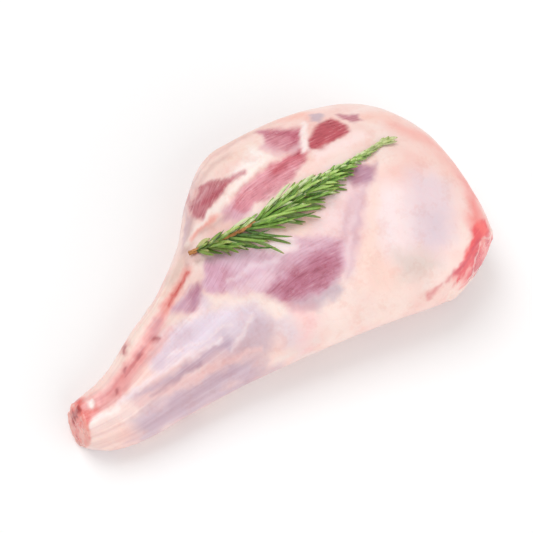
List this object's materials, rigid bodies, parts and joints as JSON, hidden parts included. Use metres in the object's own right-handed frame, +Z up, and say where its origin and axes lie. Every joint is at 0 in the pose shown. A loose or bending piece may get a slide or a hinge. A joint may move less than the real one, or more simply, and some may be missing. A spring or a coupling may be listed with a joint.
{
  "type": "raw leg of lamb",
  "caption": "Raw bone-in leg of lamb lying on its side, plump thigh tapering to a narrow shank, with a sprig of rosemary on top.",
  "frame": {"origin": "middle of the leg's plan, on the surface that it lies on", "axes": "+X along the leg from the shank's tip to the rump, +Y towards the shin side, +Z up"},
  "size_m": [0.3588, 0.21, 0.1094],
  "materials": {
    "meat": "moist, pale fat and membrane over pink and dark rose meat",
    "rosemary": "waxy green needle leaves on a woody brown stem"
  },
  "bodies": {
    "root": {"leg": "meat", "rosemary_sprig": "rosemary"}
  },
  "joints": []
}
